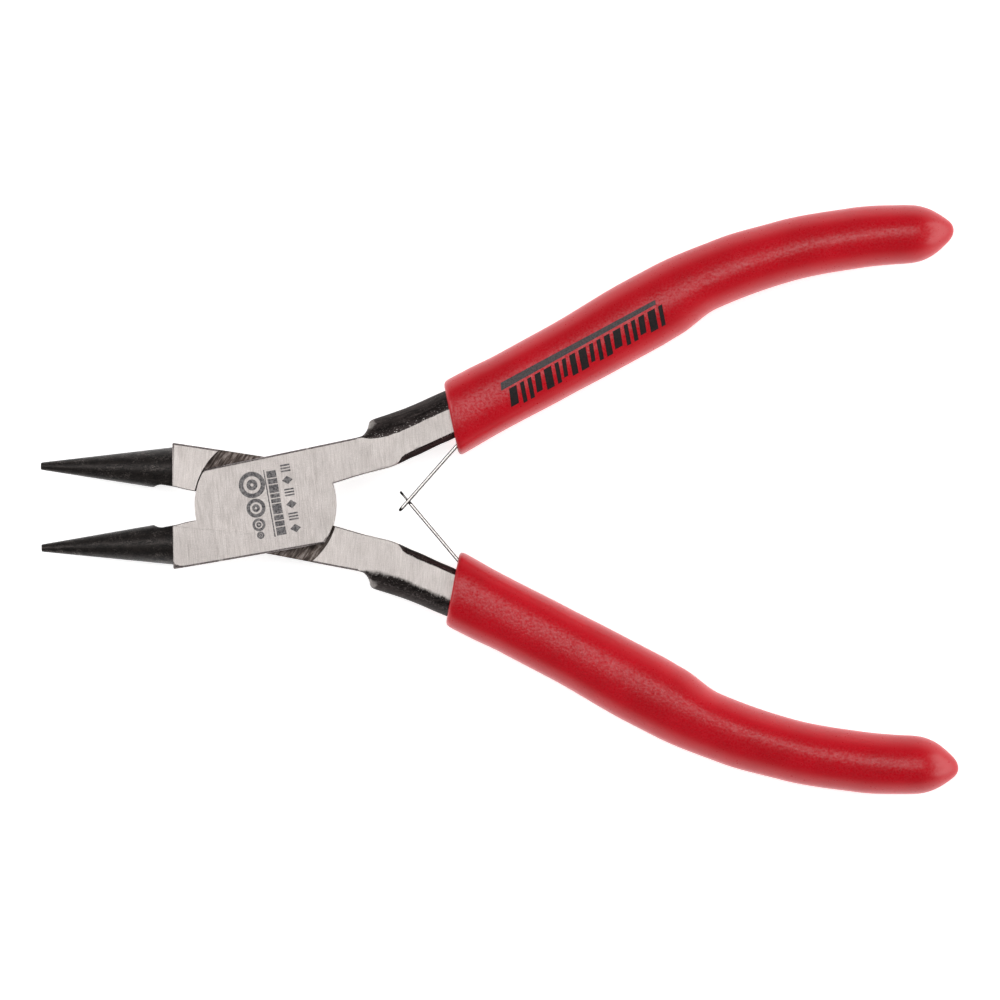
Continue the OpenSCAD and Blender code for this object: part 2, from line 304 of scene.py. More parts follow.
def sheet_faces(cells, columns):
    """Faces of a sheet of (front, back) points in rows, where there are cells, with closed edges."""
    def at(i, j, k):
        return 2 * (i * columns + j) + k

    faces = []
    for i, j in sorted(cells):
        faces.append((at(i, j, 0), at(i + 1, j, 0), at(i + 1, j + 1, 0), at(i, j + 1, 0)))
        faces.append((at(i, j, 1), at(i, j + 1, 1), at(i + 1, j + 1, 1), at(i + 1, j, 1)))
        for other, p, q in (((i - 1, j), (i, j), (i, j + 1)), ((i + 1, j), (i + 1, j), (i + 1, j + 1)),
                            ((i, j - 1), (i, j), (i + 1, j)), ((i, j + 1), (i, j + 1), (i + 1, j + 1))):
            if other not in cells:
                faces.append((at(*p, 0), at(*q, 0), at(*q, 1), at(*p, 1)))
    return faces


def drum(radius, low, high, side, centre_x=0.0, count=160):
    """A cylinder about a line near the pivot, as a tool for cutting."""
    ring = [(centre_x + radius * math.cos(2 * math.pi * i / count),
             radius * math.sin(2 * math.pi * i / count)) for i in range(count)]
    rings = [[(x, y, z) for x, y in ring] for z in (low, high)]
    return neaten(skin("drum", rings, side))


# ---- lever outline ----------------

# The neck is forged outside from FORGED_FROM on, and inside from SLOPE_FROM on; its ground flat
# narrows inside from FLAT_FROM on. NECK_MID is a height between its two edges, and its slope.
FORGED_FROM, SLOPE_FROM, FLAT_FROM = 14.0, 18.7, 18.2
NECK_MID = (5.7, 0.26)
# Plan of the neck's edges, of the block's inner edge, and of the ground flat's edges on the neck
NECK_INNER = ((9.55, 1.3), (11.6, 1.58), (13.5, 1.82), (15.6, 1.99), (17.7, 2.17), (19.13, 2.48),
              (20.6, 2.90), (22.03, 3.24), (23.5, 3.66), (24.95, 4.07), (26.4, 4.42),
              (28.2, 4.97), (30.2, 5.66))
NECK_OUTER = ((29.3, 11.8), (27.6, 11.33), (25.3, 10.77), (23.2, 10.22), (21.0, 9.72),
              (18.9, 9.36), (17.4, 9.14), (16.65, 9.02), (16.12, 8.85), (15.86, 8.5),
              (15.68, 8.02), (15.36, 7.52), (14.93, 7.14), (14.4, 6.95), (12.0, 6.85),
              (6.0, 6.65), (0.0, 6.45))
BLOCK_INNER = ((-9.72, -0.41), (-10.1, -0.40), (-11.1, -0.45), (-12.7, -0.6))
FLAT_OUTER = ((14.0, 6.83), (14.75, 6.72), (15.6, 6.46), (16.83, 6.31), (18.2, 6.40),
              (19.86, 6.66), (23.49, 7.63), (26.97, 8.52), (30.0, 9.3))
FLAT_INNER = ((FLAT_FROM, 2.36), (18.9, 2.52), (19.52, 3.22), (20.0, 3.51), (21.69, 4.0),
              (23.16, 4.38), (27.05, 5.4), (30.2, 6.3))
# How far the neck's two edges drop, at places along it
DROP_OUTER = ((14.2, EDGE), (14.75, 0.22), (15.2, 0.85), (15.9, 1.55), (16.7, 1.9), (30, 1.95))
DROP_INNER = ((SLOPE_FROM, EDGE), (19.2, 0.5), (19.7, 0.85), (30.2, 1.0))
# The block's front corners and the line between them
HIGH_CORNER = (-12.8, -0.6)
LOW_CORNER = (-13.72, -6.46)
BLOCK_FRONT = ((-12.87, -1.0), (-13.65, -6.0))
# The outer lever's facet at its low corner: inner line, reach along the outline, and depth
FACET_AT, FACET_RUN = (-13.47, -5.72), (0.88, -0.5)
FACET_REACH, FACET_DROP = 0.65, 0.3
# Heights at which the round rim meets the plate's lower edge, its upper edge and the block
PLATE_LOW, PLATE_HIGH, BLOCK_HIGH = -6.51, 6.2091, -0.42
BLOCK_LOW = ((-12.9, -6.48), (-8, PLATE_LOW))
# Edges further out than this are rounded twice as much
LONG_EDGE_Y = 5.9
# Places where the black skin is rubbed off, and how far the rubbing reaches
WORN_R = 1.2
WORN_SPOTS = ((16.2, 8.25, 7.0), (16.1, 8.45, 6.2), (16.2, 8.25, 1.0))


def refined(points, step):
    """The same path with more points, no more than step apart."""
    out = []
    for (ax, ay), (bx, by) in zip(points, points[1:]):
        n = max(1, math.ceil(math.hypot(bx - ax, by - ay) / step))
        out += [(ax + (bx - ax) * i / n, ay + (by - ay) * i / n) for i in range(n)]
    return out + [points[-1]]


def smoothed(points, step=0.3):
    """A smooth curve through the points."""
    pts = [points[0], *points, points[-1]]
    out = []
    for p0, p1, p2, p3 in zip(pts, pts[1:], pts[2:], pts[3:]):
        n = max(1, math.ceil(math.hypot(p2[0] - p1[0], p2[1] - p1[1]) / step))
        for i in range(n):
            t = i / n
            out.append(tuple(
                0.5 * (2 * b + (c - a) * t + (2 * a - 5 * b + 4 * c - d) * t * t
                       + (3 * b - a - 3 * c + d) * t ** 3)
                for a, b, c, d in zip(p0, p1, p2, p3)))
    return out + [points[-1]]


def arc(radius, start, end):
    """Part of the round rim at the joint, between two angles in degrees."""
    n = math.ceil(abs(end - start) / 1.5)
    angles = [math.radians(start + (end - start) * i / n) for i in range(n + 1)]
    return [(DISC_SHIFT + radius * math.cos(a), radius * math.sin(a)) for a in angles]


def filleted(corner, before, after, radius):
    """Points that round a corner between two neighbours."""
    count = 6

    def towards(point):
        share = min(1.0, radius / math.dist(point, corner))
        return tuple(c + (q - c) * share for c, q in zip(corner, point))

    a, b = towards(before), towards(after)
    return [tuple((1 - t) ** 2 * p + 2 * t * (1 - t) * c + t * t * q
                  for p, c, q in zip(a, corner, b))
            for t in (i / count for i in range(count + 1))]


def lever_outline(disc_r):
    """Plan of a lever from its block to inside its grip, counter-clockwise."""
    low_at, neck_at, high_at, block_at = (
        math.degrees(math.asin(y / disc_r)) for y in (PLATE_LOW, NECK_INNER[0][1], PLATE_HIGH, BLOCK_HIGH))
    right = arc(disc_r, low_at, neck_at)
    low = refined([*BLOCK_LOW, right[0]], 0.6)
    inner = smoothed([(right[-1][0] + 0.08, NECK_INNER[0][1] + 0.03), *NECK_INNER[1:]])
    outer = smoothed(NECK_OUTER)
    left = arc(disc_r, 180 - high_at, 180 - block_at)
    block = refined(BLOCK_INNER, 0.5)
    front = filleted(HIGH_CORNER, block[-1], LOW_CORNER, 0.3)
    front += refined(BLOCK_FRONT, 0.6)
    front += filleted(LOW_CORNER, BLOCK_FRONT[1], low[0], 0.25)
    return low + right[1:] + inner + outer + left + block + front


def flat_outer(x, side):
    """Outer end of the neck's ground flat, which is a little wider on the inner lever."""
    return straight(x, FLAT_OUTER) + (0.3 * eased((x - 14.6) / 1.6) if side == INNER else 0.0)


def flat_edge(x, y, normal, side):
    """Where the ground flat begins inside an outline point, and how far the side drops there."""
    if x > FORGED_FROM and y > NECK_MID[0] + (x - FORGED_FROM) * NECK_MID[1]:
        run = y - flat_outer(x, side)
        at = x + 0.2 * max(run - EDGE, 0.0)
        return (at, min(flat_outer(at, side), y - EDGE)), straight(x, DROP_OUTER)
    if x > FLAT_FROM:
        at = x - 0.1
        return (at, max(straight(at, FLAT_INNER), y + EDGE)), straight(x, DROP_INNER)
    corner = (x - y - (LOW_CORNER[0] - LOW_CORNER[1])) / 1.1
    if side == OUTER and x < -12.5 and -FACET_REACH < corner < 1:
        t = (corner + FACET_REACH) / (1 + FACET_REACH)
        return ((FACET_AT[0] + FACET_RUN[0] * t, FACET_AT[1] + FACET_RUN[1] * t),
                EDGE + FACET_DROP * (1 - abs(2 * t - 1)))
    size = 2 * EDGE if abs(y) > LONG_EDGE_Y else EDGE
    return (x + normal[0] * size, y + normal[1] * size), 0.7 * size + 0.3 * EDGE


def lever_solid(name, disc_r, side):
    """The lever's plate, block and neck, with small round edges and the neck's forged slopes."""
    path = lever_outline(disc_r)
    count = len(path)
    shares = (0.0, 0.2, 0.4, 0.6, 0.8, 0.92, 1.0)
    levels = [[] for _ in shares]
    for i, (x, y) in enumerate(path):
        (ax, ay), (bx, by) = path[i - 1], path[(i + 1) % count]
        dx, dy = bx - ax, by - ay
        size = math.hypot(dx, dy) or 1.0
        (fx, fy), drop = flat_edge(x, y, (-dy / size, dx / size), side)
        # A bulge of 2 rounds the edge off, and one of 1 makes it a plain slope
        bulge = 2.0 - 0.55 * min(1.0, max(0.0, (drop - EDGE) / 2.0))
        if x > SLOPE_FROM and drop < 1.1 and y < 7:
            bulge = 1.2
        elif x < FORGED_FROM and abs(y) > LONG_EDGE_Y:
            bulge = 1.3
        for level, t in zip(levels, shares):
            a = math.sin(t * math.pi / 2) ** (2 / bulge)
            b = 1 - math.cos(t * math.pi / 2) ** (2 / bulge) if t < 1 else 1.0
            level.append((fx + (x - fx) * a, fy + (y - fy) * a, drop * b))
    rings = [[(x, y, JOINT_T - d) for x, y, d in level] for level in levels]
    rings += [[(x, y, d) for x, y, d in level] for level in reversed(levels)]
    return neaten(skin(name, rings, side))


def jaw(side):
    """Conical jaw with a blunt tip, relieved on its inner side near the block."""
    skip = JAW_TIP_R / math.tan(JAW_TAPER)
    apex = (JAW_TIP_X - skip * math.cos(JAW_TAPER), -JAW_GAP)
    runs = [(t, share * JAW_TIP_R) for t, share in JAW_TIP]
    runs += [(t, (skip + t) * math.tan(JAW_TAPER))
             for t in (*np.linspace(0.5, 15.2, 40), *np.linspace(15.3, JAW_LEN + JAW_ROOT, 34))]
    rings = []
    count = 72
    ca, sa = math.cos(-JAW_TAPER), math.sin(-JAW_TAPER)
    for t, r in runs:
        ring = []
        for i in range(count):
            a = 2 * math.pi * (i + 0.5) / count
            u, v, z = skip + t, r * math.cos(a), r * math.sin(a)
            x, y = apex[0] + u * ca - v * sa, apex[1] + u * sa + v * ca
            ring.append((x, min(y, straight(x, JAW_RELIEF)), MID_Z + z))
        rings.append(ring)
    return neaten(skin("jaw", rings, side), 40)


def bar_outline(s, more_w, more_h):
    """(n, z) corners of the forged bar inside the grip, with its half sizes changed a little."""
    w, h = along(s, CORE_WIDTH) + more_w, along(s, CORE_HIGH) + more_h
    o, i = along(s, CORE_BEVEL_OUT), along(s, CORE_BEVEL_IN)
    m = CORE_SHIFT * (1 - eased((s - 30) / 12))
    return [(m + w, -h + 0.9 * o), (m + w, h - 0.9 * o), (m + w - o, h), (m - w + i, h),
            (m - w, h - 1.2 * i), (m - w, -h + 1.2 * i), (m - w + i, -h), (m + w - o, -h)]


def core(side):
    """Forged bar inside the grip."""
    rings = [placed(s, bar_outline(s, -0.02, -0.02)) for s in np.linspace(0.45, CORE_LEN, 60)]
    return neaten(skin("core", rings, side))


def skin_depth(x, y, side):
    """How far a point lies outside the ground flat, in millimetres; below 0 on the flat."""
    if x < FORGED_FROM:
        return -1.0
    if x < SLOPE_FROM:
        return y - flat_outer(x, side)
    return max(y - flat_outer(x, side), 4 * (straight(x, FLAT_INNER) - y))


def wear(point):
    """How near a point lies to a rubbed spot: 1 at its middle, and 0 outside it."""
    return max(0.0, 1 - min(math.dist(point, spot) for spot in WORN_SPOTS) / WORN_R)


def mark(obj, name, values):
    """Stores a value at each point, for the materials to read."""
    layer = obj.data.attributes.new(name, "FLOAT", "POINT")
    layer.data.foreach_set("value", values)


def gridded(obj, side):
    """Cuts the neck's flats into small cells, so that the skin value is true inside them."""
    bm = bmesh.new()
    bm.from_mesh(obj.data)
    for axis, low, high in ((0, FORGED_FROM, 30.0), (1, 1.8, 10.0)):
        for at in np.arange(low, high, 0.35):
            point = [0.0, 0.0, 0.0]
            point[axis] = at
            origin, base = Vector(in_row(point, side)), Vector(in_row((0, 0, 0), side))
            flats = [f for f in bm.faces if abs(f.normal.z) > 0.99
                     and max(in_lever(v.co, side)[0] for v in f.verts) > FORGED_FROM + 0.01]
            geom = {*flats, *(part for f in flats for part in (*f.edges, *f.verts))}
            bmesh.ops.bisect_plane(bm, geom=sorted(geom, key=lambda g: (str(type(g)), g.index)),
                                   plane_co=origin, plane_no=(origin - base).normalized(),
                                   dist=1e-8)
            bm.verts.index_update()
            bm.edges.index_update()
            bm.faces.index_update()
    bm.to_mesh(obj.data)
    bm.free()
    return obj


def even_flats(obj):
    """Keeps the shading of big flats free of their rounded rims."""
    mod = obj.modifiers.new("flats", "WEIGHTED_NORMAL")
    mod.mode, mod.weight, mod.keep_sharp = "FACE_AREA", 60, True
    return obj


# ---- grips ----------------


NOSE = smoothed(((-0.28, 1.0), (-0.15, 0.993), (0.0, 0.975), (0.1, 0.95), (0.2, 0.915), (0.3, 0.868),
                 (0.4, 0.808), (0.5, 0.735), (0.6, 0.647), (0.7, 0.545), (0.8, 0.437), (0.88, 0.34),
                 (0.94, 0.245), (0.975, 0.16), (0.993, 0.08), (1.0, 0.02)), 0.03)


def nose(s):
    """Share of the full width left at s, over the grip's pointed end."""
    return straight((s - ARC_END) / NOSE_LEN, NOSE)


def exponent(s):
    """The section's exponent: 2 would be an ellipse, and more is boxier."""
    return BOXY - (BOXY - ROUND) * min(1.0, max(0.0, s / ROUND_FROM))


def oval(s, count, inset=0.0):
    """(n, z) points of the grip's section, made smaller all round by the inset."""
    k, q = nose(s), 2 / exponent(s)
    w_out, w_in = along(s, WIDTH_OUT) * k - inset, along(s, WIDTH_IN) * k - LIP_INNER * inset
    h = along(s, HALF_HIGH) * k - inset
    out = []
    for i in range(count):
        a = 2 * math.pi * (i + 0.5) / count
        c, v = math.cos(a), math.sin(a)
        w = w_out if c > 0 else w_in
        out.append((math.copysign(abs(c) ** q, c) * w, math.copysign(abs(v) ** q, v) * h))
    return out


def reach(direction, polygon):
    """Distance from the origin to a convex polygon's edge along a direction."""
    best = 1e9
    for (ax, ay), (bx, by) in zip(polygon, polygon[1:] + polygon[:1]):
        nx, ny = by - ay, ax - bx
        if nx * ax + ny * ay < 0:
            nx, ny = -nx, -ny
        facing = nx * direction[0] + ny * direction[1]
        if facing > 1e-9:
            best = min(best, (nx * ax + ny * ay) / facing)
    return best


def cavity(s, outline):
    """The cavity's ring at s: round the core, with room for the leaf's foot and its rivet."""
    bar = bar_outline(max(s, 0.0), 0.05, 0.08)
    room = 1.15 * (1 - eased((s - 9.5) / 2.5))
    wall, high = min(bar)[0] - room, 2.65
    pocket = [(1.0, -high), (1.0, high), (wall, high), (wall, -high)]
    out = []
    for n, z in outline:
        size = math.hypot(n, z)
        d = (n / size, z / size)
        r = max(reach(d, bar), reach(d, pocket) if room > 0.01 else 0.0)
        out.append((d[0] * r, d[1] * r))
    return out


def grip(name, side):
    """Vinyl sleeve with a round lip at its mouth and a rounded point at its end."""
    count = 96
    tail = [ARC_END + NOSE_LEN * u for u in
            (0.04, 0.08, 0.12, 0.18, 0.25, 0.35, 0.45, 0.55, 0.65, 0.75, 0.82, 0.88, 0.92, 0.95,
             0.97, 0.985, 0.993, 0.997, 0.9995)]
    lip = [(0.9, 0.0), (0.52, 0.03), (0.27, 0.1), (0.12, 0.22), (0.04, 0.39), (0.0, 0.6)]
    rings = [placed(s, oval(s, count)) for s in reversed(tail)]
    rings += [placed(s, oval(s, count)) for s in np.linspace(ARC_END, 1.0, 110)]
    rings += [placed(MOUTH_S + t, oval(0, count, inset)) for t, inset in lip]
    outline = oval(0, count)
    for s in (MOUTH_S + 0.12, MOUTH_S + 0.4, 1.0, 3.0, 6.0, 9.5, 10.2, 11.0, 11.6, 12.2, 20.0,
              30.0, 36.0, 42.0, 48.0, 54.0, 60.0, CORE_LEN, CORE_LEN + 0.5):
        rings.append(placed(s, cavity(s, outline)))
    return neaten(skin(name, rings, side), 50)


def grip_top(s, n):
    """Height of the grip's upper surface above the middle plane."""
    w = along(s, WIDTH_OUT) if n > 0 else along(s, WIDTH_IN)
    p = exponent(s)
    return along(s, HALF_HIGH) * (1 - min(1.0, abs(n / w)) ** p) ** (1 / p)


# ---- leaf springs ----------------


def leaf_path(side, arm_len):
    """(x, y, direction, distance from the bend) along a leaf, from its foot to its end."""
    cx, cy = centre(LEAF_BEND_S)
    n = -LEAF_SEAT - LEAF_T / 2
    bend = (cx - n * math.sin(GRIP_SLOPE), cy + n * math.cos(GRIP_SLOPE))
    foot_dir, arm_dir = GRIP_SLOPE + math.pi, LEAF_SLOPES[side] + math.pi
    turn = arm_dir - foot_dir
    cut_back = LEAF_BEND_R * math.tan(abs(turn) / 2)
    out = [(bend[0] - t * math.cos(GRIP_SLOPE), bend[1] - t * math.sin(GRIP_SLOPE), foot_dir, t)
           for t in np.linspace(-LEAF_FOOT, -cut_back, 20)]
    start = out[-1]
    for i in range(1, 8):
        a = foot_dir + turn * i / 8
        mid = foot_dir + turn * i / 16
        chord = 2 * LEAF_BEND_R * math.sin(turn * i / 16)
        out.append((start[0] + chord * math.cos(mid), start[1] + chord * math.sin(mid), a,
                    -cut_back + 2 * cut_back * i / 8))
    marks = WINDOW[:2] if side == OUTER else NECK[:2]
    even = np.linspace(cut_back, arm_len, 44)
    stops = sorted([t for t in even if min(abs(t - m) for m in marks) > 0.17] + list(marks))
    for t in stops:
        out.append((bend[0] + t * math.cos(arm_dir), bend[1] + t * math.sin(arm_dir), arm_dir, t))
    return out


def leaf_half(t, side, arm_len):
    """Half the strip's thickness; the tongued one is thinned past the hook, to its blunt end."""
    half = LEAF_HALF
    if side == INNER:
        half -= 0.09 * eased((t - LEAF_CROSS[side] + 0.1) / 0.4)
        half += 0.08 * eased((t - arm_len + 0.6) / 0.25)
    return half * (1 - 0.3 * eased((t - arm_len + 0.1) / 0.1))


def leaf(name, side, arm_len, present):
    """A strip on edge; present(distance, height) says where there is metal."""
    path = leaf_path(side, arm_len)
    levels = sorted({-LEAF_W / 2, -2.0, -HEAD_HALF, -WINDOW[2], -NECK[2], 0.0, NECK[2],
                     WINDOW[2], HEAD_HALF, 2.0, LEAF_W / 2})
    verts = []
    for x, y, a, t in path:
        half = leaf_half(t, side, arm_len)
        nx, ny = -math.sin(a) * half, math.cos(a) * half
        for z in levels:
            verts += [(x + nx, y + ny, MID_Z + z), (x - nx, y - ny, MID_Z + z)]
    solid = {(i, j) for i in range(len(path) - 1) for j in range(len(levels) - 1)
             if present((path[i][3] + path[i + 1][3]) / 2, (levels[j] + levels[j + 1]) / 2)}
    obj = neaten(new_object(name, verts, sheet_faces(solid, len(levels)), side))
    mod = obj.modifiers.new("edges", "BEVEL")
    mod.width, mod.segments, mod.limit_method, mod.angle_limit = LEAF_ROUND * MM, 2, "ANGLE", 0.9
    return neaten(baked(obj), 40)


def slotted(t, z):
    """Metal of the strip with the window."""
    return not (WINDOW[0] < t < WINDOW[1] and abs(z) < WINDOW[2])


def tongued(t, z):
    """Metal of the strip that ends in a neck and a wider head."""
    if t < NECK[0]:
        return True
    return abs(z) < (NECK[2] if t < NECK[1] else HEAD_HALF)


def blend_leaf(obj, side):
    """Bakes the leaf's placement into its mesh; the path it works out is not used."""
    path = leaf_path(side, LEAF_CROSS[side])
    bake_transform(obj)


# ---- marks ----------------


def slab(points, low, high):
    """Vertices and faces of a thin plate with that outline."""
    n = len(points)
    verts = [(x, y, low) for x, y in points] + [(x, y, high) for x, y in points]
    faces = [tuple(range(n)), tuple(range(n, 2 * n))]
    faces += [(i, (i + 1) % n, n + (i + 1) % n, n + i) for i in range(n)]
    return verts, faces


def washer(cx, cy, outer, inner, low, high):
    """Vertices and faces of a thin ring."""
    n = max(12, int(outer * 30))
    verts, faces = [], []
    for i in range(n):
        a = math.radians(360 * i / n)
        for r in (inner, outer):
            for z in (low, high):
                verts.append((cx + r * math.cos(a), cy + r * math.sin(a), z))
        a, b = 4 * i, 4 * ((i + 1) % n)
        for p, q in ((0, 1), (1, 3), (3, 2), (2, 0)):
            faces.append((a + p, a + q, b + q, b + p))
    return verts, faces


def gathered(name, parts, side):
    """One object from several (vertices, faces)."""
    verts, faces = [], []
    for v, f in parts:
        shift = len(verts)
        verts += v
        faces += [tuple(i + shift for i in face) for face in f]
    return neaten(new_object(name, verts, faces, side), 30, 1e-9)


def joint_marks():
    """A gauge of loop sizes etched on the outer lever's front face: rings, a ruler and lozenges."""
    low, high = JOINT_T - 0.05, JOINT_T + 0.005
    parts = []

    def block(x0, x1, y0, y1):
        parts.append(slab([(x0, y0), (x1, y0), (x1, y1), (x0, y1)], low, high))

    for cx, cy, r, band in ((-1.2, 3.0, 1.8, 0.62), (-1.2, -0.2, 1.3, 0.5),
                            (-1.2, -2.5, 0.88, 0.36), (-1.2, -3.95, 0.52, 0.26)):
        parts.append(washer(cx, cy, r, r - band, low, high))
        parts.append(washer(cx, cy, 0.42 * r, 0.12 * r, low, high))
    top = -4.4
    for size in (1.1, 0.7, 0.7, 1.4, 0.55, 0.55, 1.1, 0.7, 0.95):
        block(1.0, 2.3, top, top + size)
        top += size + 0.14
    block(0.62, 0.78, -4.5, 4.7)
    for i in range(6):
        at = -3.8 + 1.66 * i
        if i % 2:
            for step in (-0.4, 0.0, 0.4):
                block(3.0, 4.3, at + step - 0.11, at + step + 0.11)
        else:
            parts.append(slab([(2.9, at), (3.65, at - 0.58), (4.4, at), (3.65, at + 0.58)], low, high))
    return gathered("joint_marks", parts, OUTER)


def draped(corners):
    """A thin patch on the grip's upper face between four (s, n) corners."""
    cell, lift, sunk = 0.25, 0.012, 0.06
    (s0, n0), (s1, n1), (s2, n2), (s3, n3) = corners
    nu = max(1, math.ceil(math.hypot(s1 - s0, n1 - n0) / cell))
    nv = max(1, math.ceil(math.hypot(s3 - s0, n3 - n0) / cell))
    verts = []
    for i in range(nu + 1):
        for j in range(nv + 1):
            u, v = i / nu, j / nv
            s = (s0 * (1 - u) + s1 * u) * (1 - v) + (s3 * (1 - u) + s2 * u) * v
            n = (n0 * (1 - u) + n1 * u) * (1 - v) + (n3 * (1 - u) + n2 * u) * v
            z = grip_top(s, n)
            verts += placed(s, [(n, z + lift), (n, z - sunk)])
    return verts, sheet_faces({(i, j) for i in range(nu) for j in range(nv)}, nv + 1)


def grip_bars():
    """Slanting bars of falling width, printed along the outer lever's grip."""
    parts = []
    s, high = 7.1, -0.12
    for i in range(18):
        wide = (1.15, 0.62, 0.62, 0.9)[i % 4]
        low = -2.8 if i % 3 else -2.45
        parts.append(draped([(s, low), (s + wide, low), (s + wide + 0.85, high), (s + 0.85, high)]))
        s += wide + 0.52
    return gathered("grip_bars", parts, OUTER)


def grip_line():
    """A tapering grey band above the bars."""
    return gathered("grip_line", [draped([(6.9, 0.15), (31.0, 0.25), (31.2, 0.85), (7.3, 1.15)])],
                    OUTER)


# ---- materials ----------------


class Nodes:
    """Short ways to add nodes to a material."""

    def __init__(self, name):
        self.mat = bpy.data.materials.new(name)
        self.mat.use_nodes = True
        self.tree = self.mat.node_tree
        self.shader = self.tree.nodes["Principled BSDF"]
        self.coords = self.tree.nodes.new("ShaderNodeTexCoord").outputs["Object"]

    def link(self, out, target):
        self.tree.links.new(out, target)
        return target.node

    def place(self, turn_deg, scale):
        """Object coordinates turned about Z by an angle, then stretched."""
        turn = self.tree.nodes.new("ShaderNodeMapping")
        turn.vector_type = "POINT"
        turn.inputs["Rotation"].default_value = (0, 0, math.radians(turn_deg))
        self.link(self.coords, turn.inputs["Vector"])
        size = self.tree.nodes.new("ShaderNodeVectorMath")
        size.operation = "MULTIPLY"
        size.inputs[1].default_value = scale
        self.link(turn.outputs[0], size.inputs[0])
        return size.outputs[0]

    def noise(self, vector, scale, detail, rough):
        n = self.tree.nodes.new("ShaderNodeTexNoise")
        n.inputs["Scale"].default_value = scale
        n.inputs["Detail"].default_value = detail
        n.inputs["Roughness"].default_value = rough
        self.link(vector, n.inputs["Vector"])
        return n.outputs["Fac"]

    def ramp(self, value, stops):
        r = self.tree.nodes.new("ShaderNodeValToRGB")
        while len(r.color_ramp.elements) < len(stops):
            r.color_ramp.elements.new(0.5)
        for e, (at, colour) in zip(r.color_ramp.elements, stops):
            e.position = at
            e.color = colour if len(colour) == 4 else (*colour, 1.0)
        self.link(value, r.inputs["Fac"])
        return r.outputs["Color"]

    def fit(self, value, low, high, to_low, to_high, smooth=False):
        m = self.tree.nodes.new("ShaderNodeMapRange")
        m.interpolation_type = "SMOOTHSTEP" if smooth else "LINEAR"
        for key, v in zip(("From Min", "From Max", "To Min", "To Max"),
                          (low, high, to_low, to_high)):
            m.inputs[key].default_value = v
        self.link(value, m.inputs["Value"])
        return m.outputs["Result"]

    def maths(self, kind, a, b):
        m = self.tree.nodes.new("ShaderNodeMath")
        m.operation = kind
        for socket, v in zip(m.inputs, (a, b)):
            if isinstance(v, (int, float)):
                socket.default_value = v
            else:
                self.link(v, socket)
        return m.outputs[0]

    def weighed(self, a, share_a, b, share_b):
        return self.maths("ADD", self.maths("MULTIPLY", a, share_a), self.maths("MULTIPLY", b, share_b))

    def marked(self, name):
        """The value that mark() stored under that name."""
        attribute = self.tree.nodes.new("ShaderNodeAttribute")
        attribute.attribute_name = name
        return attribute.outputs["Fac"]

    def mix(self, share, a, b):
        m = self.tree.nodes.new("ShaderNodeMix")
        m.data_type = "RGBA"
        for socket, v in zip((m.inputs["Factor"], m.inputs[6], m.inputs[7]), (share, a, b)):
            if isinstance(v, tuple):
                socket.default_value = (*v, 1.0)
            elif isinstance(v, (int, float)):
                socket.default_value = v
            else:
                self.link(v, socket)
        return m.outputs[2]

    def bump(self, height, strength, distance):
        b = self.tree.nodes.new("ShaderNodeBump")
        if isinstance(strength, float):
            b.inputs["Strength"].default_value = strength
        else:
            self.link(strength, b.inputs["Strength"])
        b.inputs["Distance"].default_value = distance
        self.link(height, b.inputs["Height"])
        self.link(b.outputs["Normal"], self.shader.inputs["Normal"])

    def set(self, key, value):
        if isinstance(value, (int, float)):
            self.shader.inputs[key].default_value = value
        else:
            self.link(value, self.shader.inputs[key])


STEEL_PALE, STEEL_MID, STEEL_DARK = (0.665, 0.615, 0.59), (0.61, 0.56, 0.535), (0.52, 0.475, 0.45)
# Plate sides: darker colours that are painted shade
WALL_SHADE_LOW, WALL_SHADE_HIGH = (0.15, 0.128, 0.125), (0.38, 0.338, 0.33)
SCUFF = (0.22, 0.185, 0.18)
BLACK_LOW, BLACK_HIGH = (0.012, 0.0092, 0.0088), (0.066, 0.051, 0.048)


def brushed(n, turn_deg, tone):
    """Brush lines across the lever: colour, roughness and height."""
    lines = n.noise(n.place(turn_deg, (1.0, 0.05, 0.05)), 11000, 4.0, 0.6)
    broad = n.noise(n.place(turn_deg, (1.0, 0.2, 0.2)), 1300, 3.0, 0.5)
    cloud = n.noise(n.place(turn_deg, (1, 1, 1)), 330, 3.0, 0.6)
    both = n.weighed(lines, 0.8, broad, 0.2)
    colour = n.ramp(both, ((0.35, STEEL_DARK), (0.5, STEEL_MID), (0.65, STEEL_PALE)))
    grain = n.noise(n.place(turn_deg, (1, 0.7, 1)), 8000, 2.0, 0.6)
    shade = n.maths("ADD", n.fit(cloud, 0.3, 0.7, 0.93 * tone, 1.05 * tone),
                    n.fit(grain, 0.3, 0.7, -0.09, 0.09))
    grey = n.tree.nodes.new("ShaderNodeVectorMath")
    grey.operation = "SCALE"
    n.link(colour, grey.inputs[0])
    n.link(shade, grey.inputs["Scale"])
    return grey.outputs[0], n.fit(both, 0.35, 0.65, 0.5, 0.4), both


